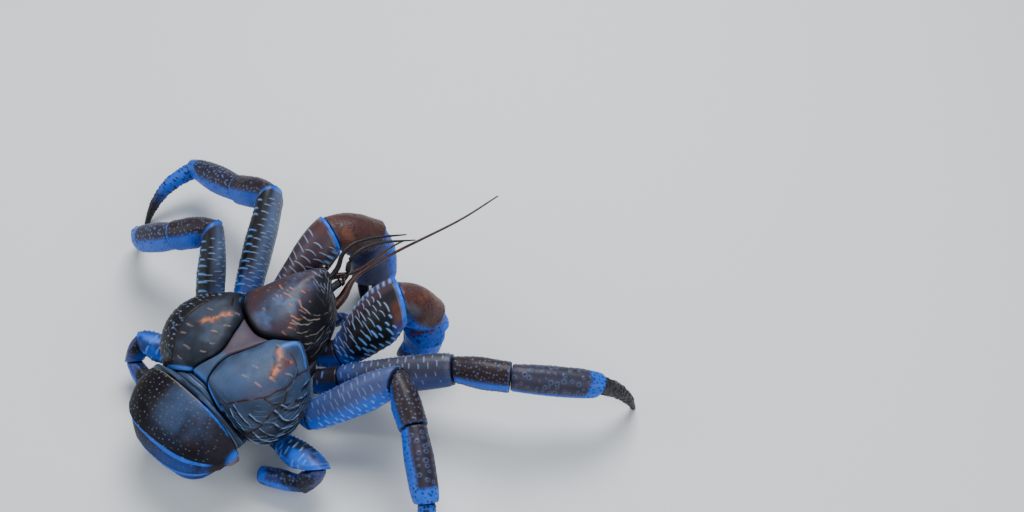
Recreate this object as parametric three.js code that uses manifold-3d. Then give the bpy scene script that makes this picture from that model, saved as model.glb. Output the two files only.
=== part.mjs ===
// A coconut crab at rest, life size, built from lofted shell pieces.
// Units are millimetres, +Z is up and +Y is the way the crab faces.
import * as THREE from 'three';
import { mergeVertices } from 'three/addons/utils/BufferGeometryUtils.js';
import Module from 'manifold-3d';

const wasm = await Module();
wasm.setup();

// Sizes of the whole animal.
const GAP = 0.3;
const SHIELD_TOP = 67;
const LOBE_TOP = 64.8;
const HEART_TOP = 62;
const VAULT_Z = 33;
const THORAX_BOTTOM = 17;
const TAIL_Y = -46;
const TAIL_Z = 27;
const TAIL_RADIUS = 27;
const TAIL_HALF_WIDTH = 34;
const CORE_RADIUS = 13;

const V = (x, y, z) => new THREE.Vector3(x, y, z);
const clamp = (v, lo, hi) => Math.min(hi, Math.max(lo, v));
const mix = (a, b, t) => a + (b - a) * t;
const smooth = (t) => {
  const c = clamp(t, 0, 1);
  return c * c * (3 - 2 * c);
};

let seed = 7919;
const random = () => {
  seed = (seed * 16807) % 2147483647;
  return seed / 2147483647;
};

// Value of a table [[t, a, b, ...], ...] at t, eased between its rows.
function along(table, t) {
  let i = 0;
  while (i < table.length - 2 && t > table[i + 1][0]) i += 1;
  const [lo, hi] = [table[i], table[i + 1]];
  const k = smooth((t - lo[0]) / (hi[0] - lo[0]));
  return lo.slice(1).map((v, j) => mix(v, hi[j + 1], k));
}

// Closed body through rings of equal count, with a fan or the given triangles on each end.
function loft(rings, cap = null, hubs = null) {
  const n = rings[0].length;
  const verts = [];
  const tris = [];
  const put = (p) => verts.push(p.x, p.y, p.z);
  rings.forEach((ring) => ring.forEach(put));
  for (let i = 0; i < rings.length - 1; i += 1) {
    for (let j = 0; j < n; j += 1) {
      const a = i * n + j;
      const b = i * n + ((j + 1) % n);
      tris.push(a, b, b + n, a, b + n, a + n);
    }
  }
  const last = (rings.length - 1) * n;
  if (cap) {
    cap.forEach(([a, b, c]) => tris.push(c, b, a, last + a, last + b, last + c));
    return outward(new Float32Array(verts), new Uint32Array(tris));
  }
  const middle = (ring) => ring.reduce((s, p) => s.add(p), V(0, 0, 0)).divideScalar(n);
  const first = verts.length / 3;
  put(hubs ? hubs[0] : middle(rings[0]));
  put(hubs ? hubs[1] : middle(rings[rings.length - 1]));
  for (let j = 0; j < n; j += 1) {
    const k = (j + 1) % n;
    tris.push(first, k, j, first + 1, last + j, last + k);
  }
  return outward(new Float32Array(verts), new Uint32Array(tris));
}

// Triangles that fill a plane outline, in the outline's own direction.
function fill(outline) {
  const whole = THREE.ShapeUtils.area(outline);
  return THREE.ShapeUtils.triangulateShape([...outline], []).map(([a, b, c]) => {
    const part = THREE.ShapeUtils.area([outline[a], outline[b], outline[c]]);
    return part * whole > 0 ? [a, b, c] : [c, b, a];
  });
}

// Manifold body from raw arrays, turned so that its faces look outward.
function outward(vertProperties, triVerts) {
  let volume = 0;
  const at = (i) => V(vertProperties[3 * i], vertProperties[3 * i + 1], vertProperties[3 * i + 2]);
  for (let i = 0; i < triVerts.length; i += 3) {
    volume += at(triVerts[i]).dot(at(triVerts[i + 1]).cross(at(triVerts[i + 2])));
  }
  if (volume < 0) {
    for (let i = 0; i < triVerts.length; i += 3) {
      [triVerts[i], triVerts[i + 1]] = [triVerts[i + 1], triVerts[i]];
    }
  }
  return new wasm.Manifold(new wasm.Mesh({ numProp: 3, vertProperties, triVerts }));
}

// The largest closed surface of a body.
function largest(body) {
  const pieces = body.decompose();
  return pieces.reduce((a, b) => (b.volume() > a.volume() ? b : a));
}

function toGeometry(body) {
  const mesh = body.getMesh();
  const geometry = new THREE.BufferGeometry();
  const flat = new Float32Array(mesh.numVert * 3);
  for (let i = 0; i < mesh.numVert; i += 1) {
    for (let k = 0; k < 3; k += 1) flat[3 * i + k] = mesh.vertProperties[i * mesh.numProp + k];
  }
  geometry.setAttribute('position', new THREE.BufferAttribute(flat, 3));
  geometry.setIndex(new THREE.BufferAttribute(new Uint32Array(mesh.triVerts), 1));
  return mergeVertices(geometry, 1e-3);
}

const crab = new THREE.Group();
crab.name = 'coconut_crab';

const COLOURS = {
  shell: [0x2b2b44, 0.38],
  blue: [0x2a55b8, 0.36],
  limb: [0x26283c, 0.4],
  rust: [0x5a3430, 0.48],
  soft: [0x4a4250, 0.6],
  eye: [0x1a0d0c, 0.12],
  feeler: [0x4a2420, 0.5],
  dark: [0x17131a, 0.5],
};

function add(name, body, tone) {
  const [color, roughness] = COLOURS[tone];
  const material = new THREE.MeshStandardMaterial({ color, roughness, metalness: 0 });
  const mesh = new THREE.Mesh(toGeometry(largest(body)), material);
  mesh.name = name;
  crab.add(mesh);
}

// Keeps the side of the plane through point that normal points to.
function keep(body, point, normal) {
  const n = normal.clone().normalize();
  return body.trimByPlane([n.x, n.y, n.z], point.dot(n) + GAP / 2);
}

// Closed ring of a flattened round section, with a low crest along its top.
function section(centre, normal, up, w, h, crest, count) {
  const side = V(0, 0, 0).crossVectors(normal, up).normalize();
  const top = V(0, 0, 0).crossVectors(side, normal).normalize();
  const ring = [];
  for (let j = 0; j < count; j += 1) {
    const a = (2 * Math.PI * j) / count;
    const c = Math.cos(a);
    const s = Math.sin(a);
    const round = (Math.abs(c) ** 2.4 + Math.abs(s) ** 2.4) ** (-1 / 2.4);
    const lift = 1 + crest * Math.max(0, s) ** 5;
    ring.push(centre.clone().addScaledVector(side, w * c * round).addScaledVector(top, h * s * round * lift));
  }
  return ring;
}

// One article of a limb from a to b. na and nb are the planes it is cut by.
function article(a, b, na, nb, up, table, options = {}) {
  const { count = 14, steps = 6, crest = 0.12, bow = V(0, 0, 0) } = options;
  const d = b.clone().sub(a);
  const length = d.length();
  d.divideScalar(length);
  const rings = [];
  for (let i = 0; i <= steps; i += 1) {
    const t = i / steps;
    const wa = (1 - smooth(t / 0.6)) * 0.98;
    const wb = smooth((t - 0.4) / 0.6) * 0.98;
    const n = d.clone().multiplyScalar(Math.max(0, 1 - wa - wb)).addScaledVector(na, wa).addScaledVector(nb, wb);
    n.normalize();
    const [w, h] = along(table, t);
    const c = a.clone().addScaledVector(d, length * t).addScaledVector(bow, 4 * t * (1 - t));
    if (i === 0) c.addScaledVector(na, -1.2);
    if (i === steps) c.addScaledVector(nb, 1.2);
    rings.push(section(c, n, up, w, h, crest, count));
  }
  let body = loft(rings);
  body = keep(body, a, na);
  return keep(body, b, nb.clone().negate());
}

// Direction shared by two articles that meet, used as the plane between them.
function between(p, q, r) {
  const u = q.clone().sub(p).normalize();
  return u.add(r.clone().sub(q).normalize()).normalize();
}

// Plan lines of the carapace, right half, as x, y, z of the rim.
const NECK_GROOVE = [V(0, -3, 58.6), V(6, -2, 59), V(13, 1.5, 58.2), V(19, 6.5, 55.6), V(22, 11, 51)];
const SHIELD_SIDE = [
  V(22, 11, 51), V(22, 18, 41), V(20.5, 27, 36), V(17.5, 35, 37), V(12.5, 42, 43), V(6, 46, 51), V(2.2, 49, 56),
];
const HEART_SIDE = [
  V(9.8, -0.5, 59), V(7.4, -9, 59.8), V(4, -17.5, 60.2), V(2.2, -24, 60.2), V(3, -30.5, 59.8), V(5.2, -38.6, 57),
];
const HEART_BACK = [V(5.2, -38.6, 57), V(2.6, -38.6, 57.2), V(0, -38.6, 57.2)];
const LOBE_SIDE = [
  V(5.2, -38.6, 57), V(12, -40.8, 53), V(22, -41.4, 45.5), V(33, -38.5, 33), V(40.5, -31, 30), V(43.5, -20, 31),
  V(42, -9, 34.5), V(37.5, -1, 38.5), V(32, 4.5, 42.5), V(27, 8.5, 46.5), V(22, 11, 51),
];

// Evenly spread samples of a smooth line through points.
function sample(points, count) {
  return new THREE.CatmullRomCurve3(points, false, 'centripetal').getSpacedPoints(count);
}
const flip = (points) => points.map((p) => V(-p.x, p.y, p.z)).reverse();

// The creature leans a little, which carries the middle of its back to its right.
function leaned(p) {
  const side = 1 - smooth(Math.abs(p.x) / 24);
  const ahead = mix(1.2, 3.6, smooth((p.y + 40) / 34)) * (1 - smooth(p.y / 44));
  return V(p.x + side * ahead, p.y, p.z);
}

// Shell plate: a dome over a closed rim, walls below it and a vaulted underside.
function plate(straight, middle, top, options = {}) {
  const { power = 2.5, root = 2, vault = VAULT_Z, under = (p) => p, levels = [1, 0.965, 0.9, 0.8, 0.66, 0.48, 0.26] } = options;
  const rim = straight.map(leaned);
  const centre = leaned(middle);
  const n = rim.length;
  const turn = Math.sign(THREE.ShapeUtils.area(rim.map((p) => new THREE.Vector2(p.x, p.y))));
  const inset = rim.map((p, i) => {
    const before = rim[(i + n - 1) % n];
    const after = rim[(i + 1) % n];
    const inward = V(before.y - after.y, after.x - before.x, 0).normalize().multiplyScalar(turn);
    return p.clone().addScaledVector(inward, GAP / 2);
  });
  const rings = [];
  const low = (p, k, z) => {
    const q = under(p);
    return V(mix(centre.x, q.x, k), mix(centre.y, q.y, k), z);
  };
  rings.push(inset.map((p) => low(p, 0.3, vault)));
  rings.push(inset.map((p) => low(p, 0.74, vault)));
  rings.push(inset.map((p) => low(p, 0.985, Math.min(p.z - 2.2, vault))));
  levels.forEach((s) => {
    rings.push(inset.map((p) => {
      const rise = (1 - s ** power) ** (1 / root);
      return V(mix(centre.x, p.x, s), mix(centre.y, p.y, s), mix(p.z, top(p, s), rise));
    }));
  });
  return loft(rings, null, [V(centre.x, centre.y, vault), V(centre.x, centre.y, top(centre, 0))]);
}

const neck = sample(NECK_GROOVE, 8);
const shieldSide = sample(SHIELD_SIDE, 13);
const heartSide = sample(HEART_SIDE, 12);
const heartBack = sample(HEART_BACK, 4);
const lobeSide = sample(LOBE_SIDE, 20);

// The groove point nearest the heart line parts the neck line in two.
const NECK_SPLIT = 3;
heartSide[0].copy(neck[NECK_SPLIT]);
const neckInner = neck.slice(0, NECK_SPLIT + 1);
const neckOuter = neck.slice(NECK_SPLIT);

const shieldRight = [...neck, ...shieldSide.slice(1)];
const shieldRim = [...shieldRight, ...flip(shieldRight).slice(0, -1)];
const frontUnder = (p) => V(p.x, p.y > 20 ? 20 + (p.y - 20) * 0.8 : p.y, p.z);
let shield = plate(shieldRim, V(0, 23, 0), () => SHIELD_TOP, { power: 2.3, under: frontUnder });

const heartRight = [...neckInner, ...heartSide.slice(1), ...heartBack.slice(1, -1)];
const heartRim = [...heartRight, heartBack[4], ...flip(heartRight).slice(0, -1)];
const HEART_CENTRE = V(0, -24, 0);
function heartPlate() {
  const front = heartRim;
  return plate(front, HEART_CENTRE, () => HEART_TOP, { power: 2.2, levels: [1, 0.95, 0.8, 0.5] });
}
add('carapace_heart', heartPlate(), 'shell');

const lobeRim = [...neckOuter, ...flip(lobeSide).map((p) => V(-p.x, p.y, p.z)).slice(1), ...[...heartSide].reverse().slice(1, -1)];
const lobe = plate(lobeRim, V(21, -16, 0), () => LOBE_TOP, { power: 3.8, root: 2.2 });
const otherLobe = plate(flip(lobeRim), V(-21, -16, 0), () => LOBE_TOP, { power: 3.8, root: 2.2 });
add('carapace_right', lobe, 'shell');
add('carapace_left', otherLobe, 'shell');

// Thorax under the plates, drawn as sections along Y.
const THORAX = [
  [-45.7, 19, 20], [-38, 22, 18.5], [-25, 25, THORAX_BOTTOM], [0, 26, THORAX_BOTTOM], [20, 22, THORAX_BOTTOM + 1], [31, 15, 21],
  [37, 9, 25],
];
function thorax() {
  const top = VAULT_Z - GAP;
  const rings = THORAX.map(([y, w, low]) => {
    const ring = [];
    const half = [[1, top], [1.02, mix(top, low, 0.45)], [0.86, mix(top, low, 0.82)], [0.5, low]];
    half.forEach(([k, z]) => ring.push(V(w * k, y, z)));
    [...half].reverse().forEach(([k, z]) => ring.push(V(-w * k, y, z)));
    return ring;
  });
  return loft(rings);
}

// Limbs: joints from the body outward, then one table of half sizes per article.
const WALK = {
  ischium: [[0, 6.3, 6.3], [1, 7.2, 7.5]],
  merus: [[0, 6.8, 7.4], [0.2, 7.6, 9.6], [0.75, 8, 11], [1, 7.2, 9]],
  carpus: [[0, 6.2, 7], [0.45, 7.8, 8.8], [1, 7.4, 8]],
  propodus: [[0, 6.4, 7], [0.4, 7.6, 8], [0.85, 7.4, 7.6], [1, 6, 6.2]],
  dactylus: [[0, 4.6, 4.8], [0.3, 4.2, 4.4], [0.7, 2.8, 3], [1, 1.3, 1.3]],
};
const BLADE = [[0, 7.4, 7.4], [0.3, 11, 8.8], [0.8, 12, 9.4], [1, 9.4, 8]];
const scaled = (table, k) => table.map(([t, w, h]) => [t, w * k, h * k]);
const LEGS = [
  {
    name: 'leg2_right', size: 1, bow: V(1, 2, 2.5),
    joints: [V(25, 11.5, 22), V(36.5, 19.5, 26), V(79.9, 57.8, 38.5), V(105.1, 72.3, 41), V(137.3, 102.4, 34), V(146, 121.8, -GAP / 2)],
  },
  {
    name: 'leg2_left', size: 1, bow: V(-3, -1, 5),
    joints: [V(-25, 11.5, 22), V(-36.5, 19.5, 26), V(-62.2, 65.1, 51.1), V(-87.6, 62.9, 37.2), V(-128, 63, 22), V(-133.3, 26.6, -GAP / 2)],
  },
  {
    name: 'leg3_right', size: 1, bow: V(3, -2, 4),
    joints: [V(26, -3.4, 21.8), V(39.5, -4, 22.4), V(68.5, 30.2, 47.5), V(90.5, 18.5, 41), V(120, -3, 31), V(133, -19, -GAP / 2)],
  },
  {
    name: 'leg3_left', size: 1, bow: V(-4, 1, 3),
    joints: [V(-26, -3, 22), V(-39.8, -3.5, 22), V(-66, 28, 53), V(-84, 16, 43.5), V(-109, 9.3, 25), V(-124, 17, -GAP / 2)],
  },
  {
    name: 'leg4_right', size: 0.66, bow: V(0, 0, 0), merus: BLADE,
    joints: [V(24, -24, 20.5), V(38, -24, 19.5), V(65.5, -22.7, 23.5), V(60.5, -31, 14), V(39, -40, 10)],
  },
  {
    name: 'leg4_left', size: 0.66, bow: V(0, 0, 0), merus: BLADE,
    joints: [V(-24, -24, 20.5), V(-38, -24, 19.5), V(-57.5, -33.5, 24), V(-57.5, -41, 14), V(-40, -45, 9.5)],
  },
];
const WALK_PARTS = ['ischium', 'merus', 'carpus', 'propodus', 'dactylus'];
const WALK_TONES = { ischium: 'limb', merus: 'limb', carpus: 'limb', propodus: 'blue', dactylus: 'blue' };

let trunk = thorax();
const UP = V(0, 0, 1);

// Cuts a flat into the trunk where a limb starts.
function seat(point, normal, reach) {
  const n = normal.clone().normalize();
  const side = V(-n.y, n.x, 0).normalize();
  const up = V(0, 0, 0).crossVectors(n, side);
  const rings = [-GAP / 2, 30].map((depth) => [[-1, -1], [1, -1], [1, 1], [-1, 1]].map(([i, j]) => (
    point.clone().addScaledVector(n, depth).addScaledVector(side, i * reach).addScaledVector(up, j * reach)
  )));
  trunk = trunk.subtract(loft(rings));
}

function limb(leg, parts, tables, tones, last) {
  const p = leg.joints;
  const planes = p.map((q, i) => {
    if (i === 0) return p[1].clone().sub(p[0]).setZ(0).normalize();
    if (i === p.length - 1) return last ? last.clone() : p[i].clone().sub(p[i - 1]).normalize();
    return between(p[i - 1], q, p[i + 1]);
  });
  for (let i = 0; i < parts.length; i += 1) {
    const kind = parts[i];
    const bow = kind === 'dactylus' ? leg.bow : V(0, 0, 0);
    const options = kind === 'dactylus' ? { count: 10, steps: 8, crest: 0, bow } : {};
    const table = scaled(kind === 'merus' && leg.merus ? leg.merus : tables[kind], leg.size);
    const body = article(p[i], p[i + 1], planes[i], planes[i + 1], UP, table, options);
    add(`${leg.name}_${kind}`, body, tones[kind]);
  }
  return planes[0];
}

LEGS.forEach((leg) => {
  const plain = leg.joints.length === 6;
  const normal = limb(leg, WALK_PARTS.slice(0, leg.joints.length - 1), WALK, WALK_TONES, plain ? V(0, 0, -1) : null);
  seat(leg.joints[0], normal, 8.6 * leg.size);
});

// Claw limbs: broad upper arm, wrist, then a hand with one fixed and one moving finger.
const CLAW = {
  ischium: [[0, 6.5, 6.2], [1, 7.5, 7.5]],
  carpus: [[0, 9.4, 8], [0.45, 11.8, 10.4], [1, 10.4, 9]],
  palm: [[0, 8.6, 8.2], [0.4, 13, 10.2], [0.8, 12.6, 9.4], [1, 11, 8]],
};
const CLAW_PARTS = ['ischium', 'merus', 'carpus', 'palm'];
const CLAW_TONES = { ischium: 'limb', merus: 'limb', carpus: 'rust', palm: 'blue' };
const CLAWS = [
  {
    name: 'claw_right', size: 1, bow: V(0, 0, 0), spread: V(0, 1, 0), tip: V(34, 62, 2),
    merus: [[0, 7.8, 8], [0.35, 12.6, 10.4], [0.75, 16.4, 12], [1, 13.4, 9.6]],
    joints: [V(14.5, 24, 23), V(24.5, 31, 25.5), V(36, 63.5, 51.5), V(44.5, 74.5, 35.5), V(42.5, 70.5, 11.5)],
  },
  {
    name: 'claw_left', size: 1.02, bow: V(0, 0, 0), spread: V(1, 0, 0), tip: V(2, 70, 3),
    merus: [[0, 7.6, 8], [0.35, 9, 9.6], [0.8, 11.6, 11], [1, 10.4, 9.2]],
    joints: [V(-14.5, 24, 23), V(-24.5, 33, 25), V(-20.8, 68.8, 51.5), V(-12.5, 89.5, 37), V(-5.5, 82.5, 13)],
  },
];

// Tapering round body along a smooth line, radii spread evenly over its length.
function tube(points, radii, count = 8, steps = 12, first = null, last = null) {
  const curve = new THREE.CatmullRomCurve3(points, false, 'centripetal');
  const rings = [];
  for (let i = 0; i <= steps; i += 1) {
    const t = i / steps;
    const tangent = i === 0 && first ? first : curve.getTangentAt(t);
    const n = i === steps && last ? last : tangent;
    const k = t * (radii.length - 1);
    const lo = Math.min(Math.floor(k), radii.length - 2);
    const r = mix(radii[lo], radii[lo + 1], k - lo);
    const up = Math.abs(n.z) > 0.9 ? V(0, 1, 0) : UP;
    rings.push(section(curve.getPointAt(t), n.clone().normalize(), up, r, r, 0, count));
  }
  return loft(rings);
}

// Body with a flat cut into it where another one starts.
function seated(body, point, normal, reach, depth = 30) {
  const n = normal.clone().normalize();
  const flat = Math.hypot(n.x, n.y) > 1e-3 ? V(-n.y, n.x, 0).normalize() : V(1, 0, 0);
  const up = V(0, 0, 0).crossVectors(n, flat);
  const rings = [-GAP / 2, depth].map((d) => [[-1, -1], [1, -1], [1, 1], [-1, 1]].map(([i, j]) => (
    point.clone().addScaledVector(n, d).addScaledVector(flat, i * reach).addScaledVector(up, j * reach)
  )));
  return body.subtract(loft(rings));
}

CLAWS.forEach((claw) => {
  const normal = limb(claw, CLAW_PARTS.slice(0, 3), CLAW, CLAW_TONES, null);
  seat(claw.joints[0], normal, 9.6);
});

// Claw hand: palm with a fixed finger, and the finger that closes on it.
CLAWS.forEach((claw) => {
  const [, , m, c, k] = claw.joints;
  const wrist = between(m, c, k);
  const out = k.clone().sub(c).normalize();
  const spread = claw.spread.clone().addScaledVector(out, -claw.spread.dot(out)).normalize();
  const size = claw.size;
  let palm = article(c, k, wrist, out, UP, scaled(CLAW.palm, size), {});
  const rootFixed = k.clone().addScaledVector(spread, -4.6 * size).addScaledVector(out, -5);
  const rootMoving = k.clone().addScaledVector(spread, 4.6 * size);
  const lean = claw.tip.clone().sub(k).normalize();
  const tipFixed = claw.tip.clone().addScaledVector(spread, -1.4);
  const tipMoving = claw.tip.clone().addScaledVector(spread, 1.6);
  const swell = (a, b, side) => a.clone().lerp(b, 0.5).addScaledVector(spread, side);
  const fixed = tube([rootFixed, swell(rootFixed, tipFixed, -2.2), tipFixed], [5 * size, 4.6 * size, 3 * size, 0.9], 8, 7);
  palm = palm.add(fixed);
  palm = seated(palm, rootMoving, out.clone().lerp(lean, 0.3), 6.4 * size, 26);
  add(`${claw.name}_palm`, palm, 'blue');
  const start = out.clone().lerp(lean, 0.3).normalize();
  const base = rootMoving.clone().addScaledVector(start, -1.5);
  let finger = tube([base, swell(base, tipMoving, 2.4), tipMoving], [5 * size, 4.8 * size, 3 * size, 0.9], 8, 8, start);
  finger = keep(finger, rootMoving, start).subtract(fixed);
  add(`${claw.name}_finger`, finger, 'blue');
});

// Abdomen: plates round a sideways axis, curled under behind the thorax.
const DEG = Math.PI / 180;
const tailWidth = (phi) => mix(TAIL_HALF_WIDTH, 25, smooth((phi - 60) / 110));
const tailRadius = (phi) => TAIL_RADIUS + 2.2 * smooth((phi - 90) / 60);
const tailInner = (x) => Math.max(2.2, CORE_RADIUS * (1 - Math.min(1, Math.abs(x) / 33) ** 4) ** (1 / 3));
function tailPoint(x, r, phi) {
  return V(x, TAIL_Y - r * Math.sin(phi * DEG), TAIL_Z + r * Math.cos(phi * DEG));
}
function tailOuter(u, phi, lift) {
  const round = (1 - Math.min(1, Math.abs(u)) ** 2.7) ** (1 / 2.2);
  const x = u * tailWidth(phi);
  return [x, Math.max(tailRadius(phi) * round + lift, tailInner(x) + 1.4)];
}
function tergite(from, to, steps, lifts) {
  const across = [-1, -0.97, -0.9, -0.78, -0.62, -0.44, -0.22, 0, 0.22, 0.44, 0.62, 0.78, 0.9, 0.97, 1];
  const rings = [];
  for (let i = 0; i <= steps; i += 1) {
    const t = i / steps;
    const phi = mix(from - 1, to + 1, t);
    const lift = along(lifts, t)[0];
    const ring = across.map((u) => tailPoint(...tailOuter(u, phi, lift), phi));
    [0.96, 0.6, 0, -0.6, -0.96].forEach((u) => {
      const x = u * tailWidth(phi);
      ring.push(tailPoint(x, Math.max(0.8, tailInner(x) - 5), phi));
    });
    rings.push(ring);
  }
  const centre = tailPoint(0, 0, 0);
  const normalAt = (phi) => V(0, -Math.cos(phi * DEG), -Math.sin(phi * DEG));
  const flat = rings[0].map((p) => new THREE.Vector2(p.x, Math.hypot(p.y - TAIL_Y, p.z - TAIL_Z)));
  let body = loft(rings, fill(flat));
  body = keep(body, centre, normalAt(from));
  body = keep(body, centre, normalAt(to).negate()).subtract(belly(0, 1.02));
  return body.trimByPlane([0, 0, 1], 0);
}
const TERGITES = [
  ['abdomen_2', 0, 70, 10, [[0, -0.6], [0.12, 0.2], [0.8, 0.6], [1, 0.9]]],
  ['abdomen_3', 70, 100, 5, [[0, -1.2], [0.3, -0.4], [1, 0.6]]],
  ['abdomen_4', 100, 134, 5, [[0, -1.2], [0.3, -0.5], [1, 0.4]]],
  ['tail_fan', 134, 172, 5, [[0, -1.2], [0.3, -0.6], [1, -1]]],
];
TERGITES.forEach(([name, from, to, steps, lifts]) => {
  add(name, tergite(from, to, steps, lifts), 'shell');
});

// Soft belly inside the curl of the abdomen.
function belly(inset, stretch) {
  const rings = [];
  [-33.6, -31.5, -28, -22, -11, 0, 11, 22, 28, 31.5, 33.6].forEach((x) => {
    const r = tailInner(x) - inset;
    const ring = [];
    for (let i = 0; i <= 8; i += 1) ring.push(tailPoint(x * stretch, r, (180 * i) / 8));
    rings.push(ring);
  });
  return loft(rings);
}
add('abdomen_soft', belly(GAP, 1), 'soft');

// First abdominal band, filling the waist behind the carapace.
function waist() {
  const edge = [...heartBack].reverse().slice(0, -1).concat(lobeSide.slice(0, 8));
  const half = edge.filter((p, i) => i % 2 === 0 || i > 3);
  const all = [...half.slice(1).reverse().map((p) => V(-p.x, p.y, p.z)), ...half];
  return loft(all.map(leaned).map((p) => {
    const phi = 0;
    const back = TAIL_Y + GAP / 2;
    const rear = TAIL_Z + tailOuter(clamp(p.x / TAIL_HALF_WIDTH, -1, 1), phi, -0.4)[1];
    const front = Math.max(p.z - 0.8, VAULT_Z + 1.5);
    const near = p.y - GAP;
    return [V(p.x, near, VAULT_Z), V(p.x, near, front), V(p.x, mix(near, back, 0.5), Math.max(front, rear) + 0.5),
      V(p.x, back, Math.max(rear, VAULT_Z + 1.5)), V(p.x, back, VAULT_Z)];
  }));
}
add('abdomen_1', waist(), 'blue');

// Head: eyes on short stalks, two pairs of feelers and the mouth legs.
const HEAD = {
  stalk: [V(5.4, 43.5, 50.6), V(6.2, 49.8, 51.6)],
  eye: [V(6.2, 49.8, 51.6), V(6.5, 53.4, 52)],
  antennule: [
    [V(2.4, 44.4, 45.5), V(3, 50, 46), V(4.2, 56.6, 49.5), V(3.4, 60.5, 57.5), V(5, 66, 62), V(9, 75, 63), V(20, 91.5, 60)],
    [V(-2.4, 44.4, 45.5), V(-2.6, 50, 46), V(-2.2, 56.5, 50), V(-2.6, 61, 57), V(-1.4, 67, 60.5), V(3, 76, 61), V(13, 92, 58)],
  ],
  antenna: [
    [V(9.8, 41.4, 42.5), V(10.2, 48, 44.5), V(9, 57, 50.5), V(12.8, 72.5, 54), V(17, 83, 57), V(27.6, 116.6, 60), V(28.1, 144.7, 55)],
    [V(-9.8, 41.4, 42.5), V(-8.4, 48, 42.2), V(-3.6, 56, 42.5), V(2.6, 63.6, 44), V(6.4, 74, 48), V(9.8, 85.8, 52), V(12.8, 91, 54)],
  ],
  mouth: [V(5.4, 37, 28), V(8, 45, 26.5), V(7.6, 50, 19), V(4.6, 49, 9)],
};
const WHIP = [2.7, 2.3, 1.2, 0.85, 0.8, 0.75, 0.7, 0.65, 0.6, 0.55, 0.5, 0.4];
const SHORT_WHIP = [2.7, 2.5, 1.6, 0.9, 0.8, 0.7, 0.6, 0.4];
const mirrored = (points) => points.map((p) => V(-p.x, p.y, p.z));

[['right', (q) => q], ['left', mirrored]].forEach(([side, turn], i) => {
  const [a, b] = turn(HEAD.stalk);
  const [, e] = turn(HEAD.eye);
  const out = b.clone().sub(a).normalize();
  shield = seated(shield, a, out, 3.1, 12);
  const stalk = tube([a.clone().addScaledVector(out, -1), a.clone().lerp(b, 0.5), b], [2.4, 2.1, 2, 2.1], 10, 5, out, out);
  add(`eyestalk_${side}`, keep(keep(stalk, a, out), b, out.clone().negate()), 'limb');
  const eyeOut = e.clone().sub(b).normalize();
  const eye = tube([b.clone().addScaledVector(out, -0.5), b.clone().lerp(e, 0.5), e], [2.2, 2.6, 2.5, 1.9, 0.5], 12, 8, out, eyeOut);
  add(`eye_${side}`, keep(eye, b, out), 'eye');

  const line = HEAD.antennule[i];
  const start = line[1].clone().sub(line[0]).normalize();
  shield = seated(shield, line[0], start, 2.3, 12);
  const thin = tube(line, [1.7, 1.7, 1.6, 1.3, 1.1, 0.9, 0.8, 0.6, 0.35], 6, 26, start);
  add(`antennule_${side}`, keep(thin, line[0], start), 'dark');

  const whip = HEAD.antenna[i];
  const lead = whip[1].clone().sub(whip[0]).normalize();
  shield = seated(shield, whip[0], lead, 3.4, 14);
  const long = tube(whip, i === 0 ? WHIP : SHORT_WHIP, 7, 28, lead);
  add(`antenna_${side}`, keep(long, whip[0], lead), 'feeler');

  const mouth = turn(HEAD.mouth);
  const ahead = V(0, 1, 0);
  const leg = tube([mouth[0].clone().addScaledVector(ahead, -1), ...mouth.slice(1)], [3.6, 3.7, 3.2, 2.4, 1], 9, 12, ahead);
  add(`mouth_leg_${side}`, keep(leg, mouth[0], ahead), 'limb');
});

add('carapace_front', shield, 'shell');
add('thorax', trunk, 'dark');

// The origin goes to the middle of the footprint, on the floor.
const box = new THREE.Box3().setFromObject(crab);
export const SHIFT = V(-(box.min.x + box.max.x) / 2, -(box.min.y + box.max.y) / 2, 0);
crab.children.forEach((mesh) => mesh.geometry.translate(SHIFT.x, SHIFT.y, SHIFT.z));
export default crab;
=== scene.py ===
"""Looks of a life-size coconut crab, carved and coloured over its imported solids.

Lengths in the tables are millimetres in the crab's own frame: +Y is the way it
faces, +X its right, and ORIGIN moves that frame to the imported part's.
"""
import math
import bmesh
import bpy
import numpy as np
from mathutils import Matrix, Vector


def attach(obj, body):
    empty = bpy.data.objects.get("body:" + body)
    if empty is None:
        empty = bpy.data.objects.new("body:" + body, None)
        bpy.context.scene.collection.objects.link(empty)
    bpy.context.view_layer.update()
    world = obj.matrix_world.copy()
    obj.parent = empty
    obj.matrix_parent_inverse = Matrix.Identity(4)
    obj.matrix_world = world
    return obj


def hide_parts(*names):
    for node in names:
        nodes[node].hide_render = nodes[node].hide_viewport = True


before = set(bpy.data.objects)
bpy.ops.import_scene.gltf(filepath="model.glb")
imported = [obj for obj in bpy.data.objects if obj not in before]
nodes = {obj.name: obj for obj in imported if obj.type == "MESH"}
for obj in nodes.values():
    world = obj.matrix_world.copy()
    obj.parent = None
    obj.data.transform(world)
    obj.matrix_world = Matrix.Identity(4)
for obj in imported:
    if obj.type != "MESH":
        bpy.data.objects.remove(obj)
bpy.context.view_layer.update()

ORIGIN = np.array([-5.149284, -35.710342, 0.0])
MM = 0.001


def mesh_arrays(mesh):
    """Vertex places in crab millimetres, and vertex normals."""
    co = np.empty(len(mesh.vertices) * 3, np.float32)
    mesh.vertices.foreach_get("co", co)
    no = np.empty(len(mesh.vertices) * 3, np.float32)
    mesh.vertices.foreach_get("normal", no)
    return co.reshape(-1, 3).astype(float) / MM - ORIGIN, no.reshape(-1, 3).astype(float)


def set_places(mesh, places):
    """Writes crab millimetres back to the vertices."""
    flat = ((places + ORIGIN) * MM).astype(np.float32).ravel()
    mesh.vertices.foreach_set("co", flat)
    mesh.update()


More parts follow.
